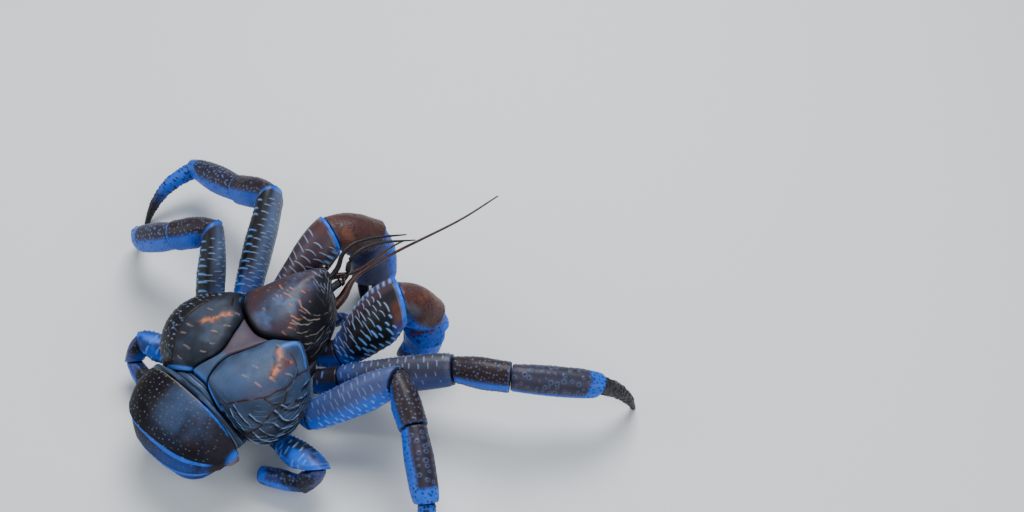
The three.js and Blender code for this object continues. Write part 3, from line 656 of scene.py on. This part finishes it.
# Lines of the back, in crab millimetres.
NECK_LINE = [(-22, 11, 51), (-18, 6.5, 55.6), (-11, 1.5, 58), (-3, -2, 59), (3, -3, 58.6), (9, -2, 59), (14, 1.5, 58), (19, 6.5, 55.6), (22, 11, 51)]
HEART_LINES = [
    [(12.2, -0.5, 59), (10.2, -9, 59.8), (6.6, -17.5, 60.2), (4.5, -24, 60.2), (4.8, -30.5, 59.8), (6.4, -38.6, 57)],
    [(-7.2, -0.5, 59), (-4.4, -9, 59.8), (-1.2, -17.5, 60.2), (0.2, -24, 60.2), (-1, -30.5, 59.8), (-3.9, -38.6, 57)],
]
REAR_RIM = [(-22, -41.8, 44.5), (-13, -40.8, 53), (-4.5, -39.2, 57.5), (1, -38.8, 58.3), (6.5, -39.2, 57.5), (13, -40.6, 53.5), (18, -41.4, 49)]
SHIELD_FOLDS = [
    [(11.4, 20.9, 64.4), (14.9, 22.8, 60.2), (16.3, 27.9, 55.2), (15.7, 33.8, 51.2), (14.2, 37.7, 49.8)],
    [(13.8, 17.5, 63.5), (16.5, 20.1, 59), (17.1, 26.4, 54.2)],
    [(13.9, 12.3, 64.2), (17.2, 15.1, 60.9), (17.6, 21, 56.7)],
    [(20, 8.4, 55.6), (20.4, 13.7, 55.6), (20.1, 20.3, 50.6), (19.1, 25.7, 49.1), (17.5, 31.7, 47.4), (15.5, 35.6, 48.8)],
    [(20.5, 8.9, 54.4), (21.6, 14.1, 49.6), (21.1, 19.9, 45.7), (20.1, 25.4, 44.5), (18.9, 30.6, 40.9)],
    [(21.8, 13.7, 38.3), (21.8, 18.4, 38.5), (21, 22.8, 40.6), (20, 27.7, 38.6)],
    [(18, 10.3, 60.6), (19.5, 13.7, 57.9), (18.9, 18.5, 55.4)],
]
SHIELD_DASHES = [
    [(-5.8, 17.5, 66.3), (-3.7, 16.4, 66.5), (-1.3, 16.2, 66.7)], [(-0.4, 19.8, 66.9), (4, 20.3, 66.9)],
    [(-2, 13.8, 66.4), (1.8, 13.4, 66.5)], [(3.1, 15.4, 66.7), (5.1, 14.9, 66.6)], [(8.4, 22.4, 65.6), (11.1, 21.1, 64.5)],
    [(11.4, 18.4, 65.1), (14, 20.7, 62)], [(11.9, 13.4, 65.1), (15.4, 15.5, 62.9)], [(14.9, 15.5, 63.4), (16.7, 20.6, 58.4)],
    [(6.3, 17, 66.6), (8.3, 16.8, 66.3)], [(-6.3, 22.1, 65.6), (-3.1, 21.1, 66.6)], [(-0.4, 24.3, 66.7), (1.8, 24.4, 66.9)],
    [(5.3, 27.1, 66.3), (6.9, 27.2, 65.5)], [(10.7, 26.3, 63.5), (12.1, 26.5, 62)], [(13.9, 5, 62.4), (16, 5.6, 60.9)],
    [(14.8, 8.7, 63.1), (17.1, 10.4, 61.6)], [(14, 10.7, 63.9), (16.4, 12.9, 62.4)],
]
RIGHT_FURROWS = [
    [(18.1, -40.7, 52.8), (25.8, -36.3, 58.1), (31.7, -30.3, 59.9), (35.1, -25.7, 59.8), (36.5, -20.3, 60.3),
     (37.5, -14.9, 59), (37.3, -9.7, 58.2), (35.9, -5.7, 57.6), (33.7, -3.5, 58.9), (30.3, -1.3, 60.4), (26.9, -0.8, 62.4)],
    [(35.9, -5.7, 57.6), (34.8, -1.2, 54.2), (31.8, 3.8, 48.1)],
    [(37.5, -14.9, 59), (39.3, -16.1, 56.2), (40.6, -19.1, 52.7)],
    [(35, -26.3, 59.5), (38.4, -24.4, 55.7), (40.8, -18.8, 52.2), (41, -7.7, 40.3)],
    [(40.1, -22, 53.1), (39.1, -28, 50.5), (37.3, -33.1, 44.8), (32.3, -38.3, 38.7)],
]
RIGHT_RIDGES = [
    [(19.2, -40.9, 51.3), (23, -40.7, 47.9), (26.7, -40.4, 41.8), (30.1, -39.5, 37.7)],
    [(23.9, -39.3, 53.7), (28.1, -39.5, 47.1), (31.2, -38.6, 41.2)],
    [(25.3, -37.6, 56.5), (29.6, -37.6, 51.4), (34.6, -36, 44.4)], [(32.8, -34.6, 53), (35.8, -33.3, 49.5), (38.7, -31.2, 45.9)],
    [(39.7, -24.7, 52.3), (41.8, -22.9, 45.6), (42.8, -18.7, 40), (42.5, -13.8, 39.3)],
    [(38.5, -30.9, 47.1), (40.5, -27.7, 44.9), (42.2, -24.3, 38.5), (43, -18.9, 35.6)],
    [(37.1, -33.7, 43.2), (39.5, -31.3, 38.1), (41.4, -27.8, 34.3), (42.6, -23.7, 33.1)],
    [(34.8, -36.2, 40.3), (37.4, -34.2, 34.2), (39.8, -31.4, 31.9), (41.4, -28.2, 31.7)],
    [(31, -39.1, 37.3), (34, -37.6, 32.6), (36.6, -34.9, 29.8)], [(40.4, -20.5, 53), (41.9, -16.8, 47.9), (41.9, -11.9, 44.7)],
    [(40.2, -12.5, 50.2), (40.4, -7.8, 46), (38.6, -3.5, 43.2)], [(38.2, -6, 51), (36.4, -1, 47.6), (33.6, 2.6, 44.4)],
]
LEFT_FURROWS = [
    [(-17.4, -40.6, 53.7), (-18.9, -37.5, 59.7), (-21.8, -32.8, 62.8), (-24.7, -27.8, 64), (-25.9, -22, 64.5),
     (-26.5, -16.8, 64.7), (-25.8, -11.6, 64.6), (-24.8, -4.3, 64), (-24.6, -1.1, 63.3)],
    [(-26.4, -8.8, 64.3), (-30.1, -13.9, 64.1), (-30.9, -20.2, 63.9), (-31, -27.4, 62), (-31.2, -32.7, 58.1)],
    [(-15.9, -1, 63.3), (-19.2, 2.6, 62.3)],
]
RIGHT_WORN = [
    [(22.8, -4, 64.4), (26.9, -6.4, 64), (29.5, -7.2, 63.4)], [(29.3, -13.2, 64.2), (29.9, -7.3, 63.3), (29.9, -4.1, 62.4)],
    [(29.4, -11.7, 64.2), (30.8, -16.3, 64)],
]
LEFT_WORN = [
    [(-14, -11.9, 64.7), (-14.1, -8.9, 64.6), (-12.4, -6.2, 64.2)], [(-17.7, -19.1, 64.8), (-17.7, -16.2, 64.8), (-15.6, -13.9, 64.8)],
]
RIGHT_STAIN = [[(20.2, -3.9, 64), (22.8, -8.2, 64.3), (27.1, -10.7, 64.5), (29.6, -14.9, 64.6), (30.7, -18.5, 64.6)]]
RIGHT_SPECKS = [
    [(30.7, -18, 64), (33.6, -17.2, 62.8)], [(33.3, -10, 62.3), (35.3, -8.3, 59.8)], [(27.7, -24.5, 64), (31.2, -23.8, 63.2)],
    [(20.1, -19.2, 64.8), (22, -18.4, 64.8)], [(19.9, -26.2, 64.5), (21.7, -25.8, 64.4)], [(19.3, -2.6, 64), (22.4, -2.6, 64.2)],
]
LEFT_SPECKS = [
    [(-22.4, -24.4, 64.5), (-19.8, -23.9, 64.7)], [(-21.4, -29.4, 63.9), (-19.1, -28.8, 64.2)], [(-8.5, -12.4, 64), (-7, -10.6, 63.2)],
    [(-10.4, -19.3, 64.6), (-8.8, -17.9, 64.4)], [(-14.9, -33.3, 63.2), (-11.2, -33, 63.4)], [(-6.1, -30.1, 63.4), (-4.4, -28.9, 63.1)],
    [(-5.7, -23.8, 64), (-4.3, -22.8, 63.7)], [(-10.4, -3.4, 63.2), (-9, -2.5, 62.2)], [(-14.7, -38.5, 59.5), (-11.9, -38.3, 59.8)],
    [(-22.1, -11.3, 64.8), (-20.3, -10.4, 64.8)],
]


def dress_shield():
    obj = smooth_copy("carapace_front", 0.34, crease=60)
    p, n = mesh_arrays(obj.data)
    rng = np.random.default_rng(11)
    x, y = p[:, 0], p[:, 1]
    uneven = rough_cloud(p, 12, 21)
    fine = rough_cloud(p, 4.5, 22)
    steep = ease((0.84 - n[:, 2]) / 0.26)
    flat = ease((n[:, 2] - 0.72) / 0.2)
    marks = scattered(rng, (6, 44), (-15, 9), 4.8, 5.4, 0.85, 0.24, 0.0, 0.4, 1.0, 0.55)
    dashes = np.maximum(0.6 * strokes(y, x, marks) * flat, line_ink(distance_to(p, SHIELD_DASHES, wobble=0.7), 0.36) * ease((fine - 0.36) / 0.1))
    folds = line_ink(distance_to(p, SHIELD_FOLDS + [[(-a, b, c) for a, b, c in line] for line in SHIELD_FOLDS], wobble=1.2), 0.27)
    folds = folds * (0.4 + 0.6 * ease((fine - 0.3) / 0.14))
    level = p[:, 2] + 3.6 * (rough_cloud(p, 7, 33) - 0.5) - 0.12 * y
    broken = ease((cloud(p, 3.4, 35) - 0.4) / 0.16)
    low = ease((51 - p[:, 2]) / 5)
    face = np.maximum(ease((-x - 3) / 4), ease((y - 34) / 6))
    threads = contours(level, 2.3, 0.15) * broken * steep * np.maximum(low, face)
    off_groove = distance_to(p, [NECK_LINE])
    groove = line_ink(off_groove, 1.0)
    beaded = (0.5 + 0.5 * np.cos(np.hypot(x * 1.4, y) * 2.3)) * line_ink(p[:, 2] - 47 - 0.12 * y, 1.0) * ease((y - 30) / 6)
    front = ease((y - 30) / 10)
    scallops = strokes(y, x, scattered(rng, (29, 48), (-14, 14), 2.6, 3.2, 1.6, 0.2, 0.0, -0.7, 0.6, 0.85)) * front
    scallops = scallops * ease((n[:, 2] - 0.25) / 0.2)
    height = 0.55 * (uneven - 0.5) + 0.2 * (fine - 0.5) + 0.24 * dashes + 0.3 * folds + 0.2 * threads + 0.22 * scallops
    height += 0.26 * beaded - 0.2 * groove
    # painted sheen along the middle of the shield
    middle = ease((12.5 - np.abs(x - 2.5)) / 9) * flat
    midline_sheen = middle * (0.3 + 0.7 * ease((rough_cloud(p, 9, 23) - 0.42) / 0.2))
    masks = {
        "dark": np.clip(steep * 0.95 * (1 - 0.8 * folds) * (1 - 0.8 * threads) + 0.5 * groove, 0, 1),
        "beige": np.clip((0.7 * folds + 0.5 * threads) * (0.5 + 0.8 * uneven) + 0.2 * beaded + 0.3 * scallops, 0, 1),
        "tan": np.clip(dashes * (0.2 + 1.1 * fine), 0, 1) * (1 - 0.8 * front) * (1 - 0.6 * steep),
        "sheen": np.clip(0.3 * midline_sheen, 0, 1),
        # pale: scalloped marks and threads, and painted glints of sky along the middle
        "pale": np.clip(0.26 * scallops + 0.15 * middle * ease((rough_cloud(p, 5, 77) - 0.46) / 0.4) + 0.12 * threads, 0, 1),
        "rust": np.clip(0.4 * flat * (1 - midline_sheen) * ease((uneven - 0.3) / 0.3) + 0.4 * line_ink(off_groove, 2.0), 0, 1),
        "blue": 0.8 * ease((y - 40) / 4) * ease((0.8 - n[:, 2]) / 0.3) * ease((x - 5) / 4) * ease((fine - 0.35) / 0.1),
    }
    carved(obj, height * ease((p[:, 2] - 33.6) / 1.5), masks, "shield")


def dress_heart():
    obj = smooth_copy("carapace_heart", 0.4, crease=60)
    p, n = mesh_arrays(obj.data)
    uneven = rough_cloud(p, 8, 5)
    front = ease((p[:, 1] + 25) / 5)
    edge = line_ink(distance_to(p, HEART_LINES), 0.55)
    rim = line_ink(distance_to(p, [REAR_RIM]), 1.5)
    # sheen: a painted sheen, partly the plate's own slate tone, weaker at the front
    masks = {"rust": np.clip(0.5 * front * ease((uneven - 0.1) / 0.3) + 0.6 * edge, 0, 1),
             "sheen": np.clip(0.5 * (1 - front) + 0.3 * front, 0, 1) * (0.6 + 0.8 * uneven),
             "blue": 0.9 * rim, "pale": 0.6 * line_ink(distance_to(p, [REAR_RIM]), 1.0), "dark": 0.3 * edge * (1 - rim)}
    carved(obj, (0.3 * (uneven - 0.5) + 0.1 * rim) * ease((p[:, 2] - 40) / 4), masks, "back")


def dress_lobe(side):
    right = side == "right"
    obj = smooth_copy(f"carapace_{side}", 0.4, crease=60)
    p, n = mesh_arrays(obj.data)
    rng = np.random.default_rng(31 if right else 29)
    x, y = np.abs(p[:, 0]), p[:, 1]
    uneven = rough_cloud(p, 12, 41 if right else 39)
    fine = rough_cloud(p, 3.4, 15)
    broken = ease((fine - 0.28) / 0.16)
    off_furrow = distance_to(p, RIGHT_FURROWS if right else LEFT_FURROWS, wobble=0.8)
    furrows = line_ink(off_furrow, 0.36)
    off_groove = distance_to(p, [*HEART_LINES, NECK_LINE])
    groove = line_ink(off_groove, 0.6)
    steep = ease((0.8 - n[:, 2]) / 0.35)
    if right:
        flank = steep * ease((-y - 4 + 0.9 * (x - 30)) / 6)
        ridges = line_ink(distance_to(p, RIGHT_RIDGES, wobble=0.9), 0.3) * (0.45 + 0.55 * broken)
        shade = line_ink(distance_to(p + np.array([-0.5, 0.7, 1.3]), RIGHT_RIDGES, wobble=0.9), 0.95) * steep * (1 - ridges)
        low = ease((45 - p[:, 2]) / 8)
        arcs = contours(p[:, 2] + 0.25 * x + 2.6 * (rough_cloud(p, 8, 51) - 0.5), 2.4, 0.16) * ease((cloud(p, 4, 52) - 0.45) / 0.1)
        arcs = arcs * steep * (0.35 + 0.65 * low)
        off_worn = distance_to(p, RIGHT_WORN, wobble=2.8)
        worn = line_ink(off_worn, 1.2) * ease((fine - 0.38) / 0.1)
        stain = line_ink(distance_to(p, RIGHT_STAIN, wobble=1.6), 0.75)
        specks = line_ink(distance_to(p, RIGHT_SPECKS, wobble=1.0), 0.42)
        corner = line_ink(distance_to(p, [[(21.5, -1, 63.9), (22.4, 3, 62.6), (23.7, 7, 59.1), (27.5, 6.3, 56), (32, 3, 52)]]), 1.1)
    else:
        edge = np.interp(y, [line[1] for line in LEFT_FURROWS[0]], [-line[0] for line in LEFT_FURROWS[0]])
        flank = ease((x - edge + 0.4 - 1.6 * (fine - 0.5)) / 1.6)
        chips = strokes(p[:, 1], p[:, 2] * 1.1 - x * 0.8, scattered(rng, (-40, 6), (-6, 52), 3.2, 3.4, 1.0, 0.27, 0.25, 0.4, 0.5, 0.9))
        ridges = chips * flank * ease((-n[:, 0] - 0.1) / 0.2) * (0.5 + 0.8 * fine)
        shade = 0 * x
        arcs = contours(p[:, 2] + 0.4 * y + 2.2 * (rough_cloud(p, 6, 57) - 0.5), 3.0, 0.15) * ease((cloud(p, 4, 58) - 0.5) / 0.1) * flank * 0.5
        off_worn = distance_to(p, LEFT_WORN, wobble=2.8)
        worn = line_ink(off_worn, 1.3) * ease((fine - 0.4) / 0.1)
        stain = 0 * x
        specks = line_ink(distance_to(p, LEFT_SPECKS, wobble=1.0), 0.38)
        corner = line_ink(distance_to(p, [[(-21.5, 11, 50), (-20, 7.5, 56), (-17.5, 4.5, 59)]]), 0.9)
    off_rim = distance_to(p, [REAR_RIM])
    rim = ease((2.1 - off_rim) / 0.6)
    height = 0.55 * (uneven - 0.5) + 0.14 * (fine - 0.5) - 0.4 * furrows + 0.36 * ridges + 0.22 * arcs - 0.22 * shade - 0.2 * groove
    height += 0.14 * specks - 0.14 * worn - 0.1 * stain + 0.14 * rim
    free = 1 - rim
    masks = {
        # dark: painted shade over all of the left lobe, which lies away from the light, and painted shade below the
        # ridges of the right one
        "dark": np.clip(flank * (0.96 if not right else 0.5 * low + 0.34) * (1 - ridges) + 0.75 * furrows + 1.0 * shade + 0.45 * groove
                        + (0.25 + 0.45 * ease((0.6 - uneven) / 0.2)) * (not right)
                        + 0.75 * stain, 0, 1) * free,
        "pale": np.clip((0.7 if right else 0.3) * ridges + 0.45 * arcs + 0.6 * line_ink(off_rim - 0.6, 0.8) + 0.25 * corner, 0, 1),
        "beige": np.clip((0.3 if right else 0.34) * ridges + 0.16 * arcs + 0.28 * specks, 0, 1),
        "tan": np.clip(0.3 * specks * broken + 0.95 * worn + 0.28 * ridges * (not right) * ease((uneven - 0.45) / 0.1), 0, 1),
        "rust": np.clip(0.55 * line_ink(off_groove, 2.4) * uneven + 0.6 * line_ink(off_furrow, 0.9) + 0.7 * line_ink(off_worn, 2.3)
                        + 0.3 * ease((uneven - 0.45) / 0.2) * ease((x - 22) / 8) * (1 - steep), 0, 1) * free,
        "blue": np.clip(0.95 * rim + 0.75 * corner, 0, 1),
        # sheen: painted sheen, much weaker on the left lobe, which lies in shade
        "sheen": np.clip((0.46 if right else 0.12) * (0.4 + ease((uneven - 0.36) / 0.3)) * (1 - 0.75 * flank * (not right)) + 0.2 * corner, 0, 1),
    }
    carved(obj, height * ease((p[:, 2] - 28.5) / 2), masks, "back")


TAIL_Y, TAIL_Z = -46.0, 27.0


def dress_abdomen():
    spans = {"abdomen_2": (0, 70), "abdomen_3": (70, 100), "abdomen_4": (100, 134), "tail_fan": (134, 172)}
    for node, (start, stop) in spans.items():
        obj = smooth_copy(node, 0.42 if node == "abdomen_2" else 0.55, crease=60)
        p, n = mesh_arrays(obj.data)
        turn = np.degrees(np.arctan2(TAIL_Y - p[:, 1], p[:, 2] - TAIL_Z))
        reach = np.hypot(TAIL_Y - p[:, 1], p[:, 2] - TAIL_Z)
        arc = np.radians(turn) * 27.0
        from_start = arc - math.radians(start) * 27.0
        from_stop = math.radians(stop) * 27.0 - arc
        first = node == "abdomen_2"
        uneven = rough_cloud(p, 14, 60)
        fine = rough_cloud(p, 4, 61)
        outer = ease((reach - 14) / 4)
        specks = dots(p[:, 0], arc, 2.9, 12, 0.27, 0.85) * outer
        side = p[:, 0] + 9 * (uneven - 0.5)
        dark_side = ease((-side - 3) / 10) if first else 0 * turn
        foot = ease((15 - from_stop) / 9) * first
        rim_width = 1.2 + 2.2 * ease((p[:, 0] + 30) / 50)
        rim = np.clip(ease((rim_width - from_stop) / 0.7)
                      + 0.8 * ease((1.9 - from_start) / 1.2) * ease((p[:, 0] - 4) / 10), 0, 1) * outer
        rim = np.clip(rim + ease((n[:, 0] - 0.94) / 0.04), 0, 1)
        lip = line_ink(from_start - 0.7, 0.4) * outer * (1 - ease((p[:, 0] - 6) / 8))
        step = line_ink(from_stop - rim_width - 0.2, 0.35) * outer
        height = 0.55 * (uneven - 0.5) + 0.14 * (fine - 0.5) - 0.08 * specks + 0.26 * rim - 0.22 * step + 0.16 * lip
        masks = {
            "pale": np.clip(specks * (0.04 + 0.06 * dark_side + 0.16 * foot) + 0.14 * rim * fine, 0, 1),
            "beige": np.clip(specks * (0.15 + 0.12 * dark_side) * (1 - rim) + 0.3 * lip, 0, 1),
            "blue": np.clip(rim * (0.7 + 0.5 * fine) + (0.0 if first else 0.55 * uneven) * outer * ease((p[:, 0] + 16) / 34), 0, 1),
            # sheen: a painted broad sheen on the first plate, away from its dark side
            "sheen": np.clip(0.5 * ease((uneven - 0.3) / 0.3) * ease((20 - np.abs(p[:, 0] + 10 * (fine - 0.5) - 7)) / 17), 0, 1)
                     * (1 - rim) * (1 - dark_side) * (1 - 0.7 * foot) * first,
            "rust": np.clip(0.8 * lip + 0.14 * ease((cloud(p, 9, 66) - 0.58) / 0.15) * first * (1 - rim), 0, 1),
            "dark": np.clip((0.85 * dark_side + 0.6 * foot) * (1 - rim) * (1 - 0.7 * specks) + 0.6 * step
                            + (0 if first else 0.8) * ease((0.52 - uneven) / 0.2) * (1 - rim), 0, 1),
        }
        carved(obj, height, masks, "tail")
    obj = smooth_copy("abdomen_1", 0.36)
    p, n = mesh_arrays(obj.data)
    bend = p[:, 1] - 0.06 * np.abs(p[:, 0])
    bands = contours(bend, 2.9, 0.32)
    light = contours(bend + 0.8, 2.9, 0.2)
    uneven = rough_cloud(p, 6, 70)
    # sheen: painted sheen between the bands
    masks = {"sheen": 0.5 * (1 - bands) * (0.5 + 0.7 * uneven) * ease((26 - np.abs(p[:, 0])) / 8), "dark": 0.85 * bands,
             "pale": 0.3 * light * ease((uneven - 0.35) / 0.2), "rust": 0.3 * light * (1 - uneven)}
    carved(obj, -0.3 * bands * ease((p[:, 2] - 36) / 3), masks, "back")


def dress_plain(node, material, voxel=0.5):
    obj = smooth_copy(node, voxel)
    obj.data.materials.append(MATERIALS[material])
    return obj


def dress_feeler(node, material):
    obj = smooth_copy(node, None, 1)
    places, _ = mesh_arrays(obj.data)
    start = places[np.argmin(places[:, 1])]
    set_mask(obj.data, "along", np.linalg.norm(places - start, axis=1) / 140.0)
    obj.data.materials.append(MATERIALS[material])


def dress_head():
    for side in ("right", "left"):
        dress_feeler(f"antenna_{side}", "feeler")
        dress_feeler(f"antennule_{side}", "feeler_dark")
        dress_plain(f"eye_{side}", "eye", None)
        stalk = smooth_copy(f"eyestalk_{side}", 0.28)
        p, _ = mesh_arrays(stalk.data)
        carved(stalk, 0.15 * (rough_cloud(p, 2.5, 4) - 0.5), {"dark": np.full(len(p), 0.8)}, "limb")
        mouth = smooth_copy(f"mouth_leg_{side}", 0.36)
        p, _ = mesh_arrays(mouth.data)
        ink = dots(p[:, 1], p[:, 2], 2.2, 6, 0.5, 0.7)
        carved(mouth, 0.2 * ink, {"blue": 0.5 * rough_cloud(p, 8, 6), "pale": 0.3 * ink, "dark": 0.5 * (1 - ink)}, "limb")
    dress_plain("thorax", "under", 0.7)
    dress_plain("abdomen_soft", "skin", 0.7)


def studio():
    bm = bmesh.new()
    bmesh.ops.create_grid(bm, x_segments=1, y_segments=1, size=4.0)
    mesh = bpy.data.meshes.new("floor")
    bm.to_mesh(mesh)
    bm.free()
    floor = bpy.data.objects.new("floor", mesh)
    bpy.context.scene.collection.objects.link(floor)
    s = Shader("pale_floor")
    floor.data.materials.append(s.finish((0.80, 0.79, 0.77, 1.0), 0.7, s.noise(30.0), 0.02, 0.0002))

    world = bpy.data.worlds.new("soft_room")
    world.use_nodes = True
    world.node_tree.nodes["Background"].inputs[0].default_value = (0.70, 0.84, 1.0, 1.0)
    world.node_tree.nodes["Background"].inputs[1].default_value = 0.20
    bpy.context.scene.world = world
    lamps = (("key", (-0.22, 0.42, 0.92), 12.5, 0.60, (0.92, 0.97, 1.0)),
             ("fill", (0.75, -0.15, 0.55), 5.0, 0.8, (0.85, 0.94, 1.0)),
             ("back", (-0.5, -0.6, 0.5), 3.0, 0.6, (0.9, 0.95, 1.0)))
    for name, place, power, size, colour in lamps:
        data = bpy.data.lights.new(name, "AREA")
        data.energy = power
        data.size = size
        data.color = colour
        lamp = bpy.data.objects.new(name, data)
        lamp.location = place
        aim = Vector((0.0, 0.0, 0.03)) - Vector(place)
        lamp.rotation_euler = aim.to_track_quat("-Z", "Y").to_euler()
        bpy.context.scene.collection.objects.link(lamp)


CAMERA_AZIMUTH = 132.979
CAMERA_ELEVATION = 52.5
CAMERA_TARGET = (32.003, 151.418, 0.0)
CAMERA_DISTANCE = 943.355
CAMERA_LENS = 1700 / 1024 * 36


def aim_camera():
    az, el = math.radians(CAMERA_AZIMUTH), math.radians(CAMERA_ELEVATION)
    look = Vector((math.cos(az) * math.cos(el), math.sin(az) * math.cos(el), -math.sin(el)))
    target = (Vector(CAMERA_TARGET) + Vector(ORIGIN)) * MM
    data = bpy.data.cameras.new("camera")
    data.lens = CAMERA_LENS
    data.sensor_width = 36.0
    data.clip_start = 0.01
    camera = bpy.data.objects.new("camera", data)
    camera.location = target - look * (CAMERA_DISTANCE * MM)
    camera.rotation_euler = look.to_track_quat("-Z", "Y").to_euler()
    bpy.context.scene.collection.objects.link(camera)
    bpy.context.scene.camera = camera


aim_camera()
studio()
dress_limbs()
dress_shield()
dress_heart()
dress_lobe("right")
dress_lobe("left")
dress_abdomen()
dress_head()
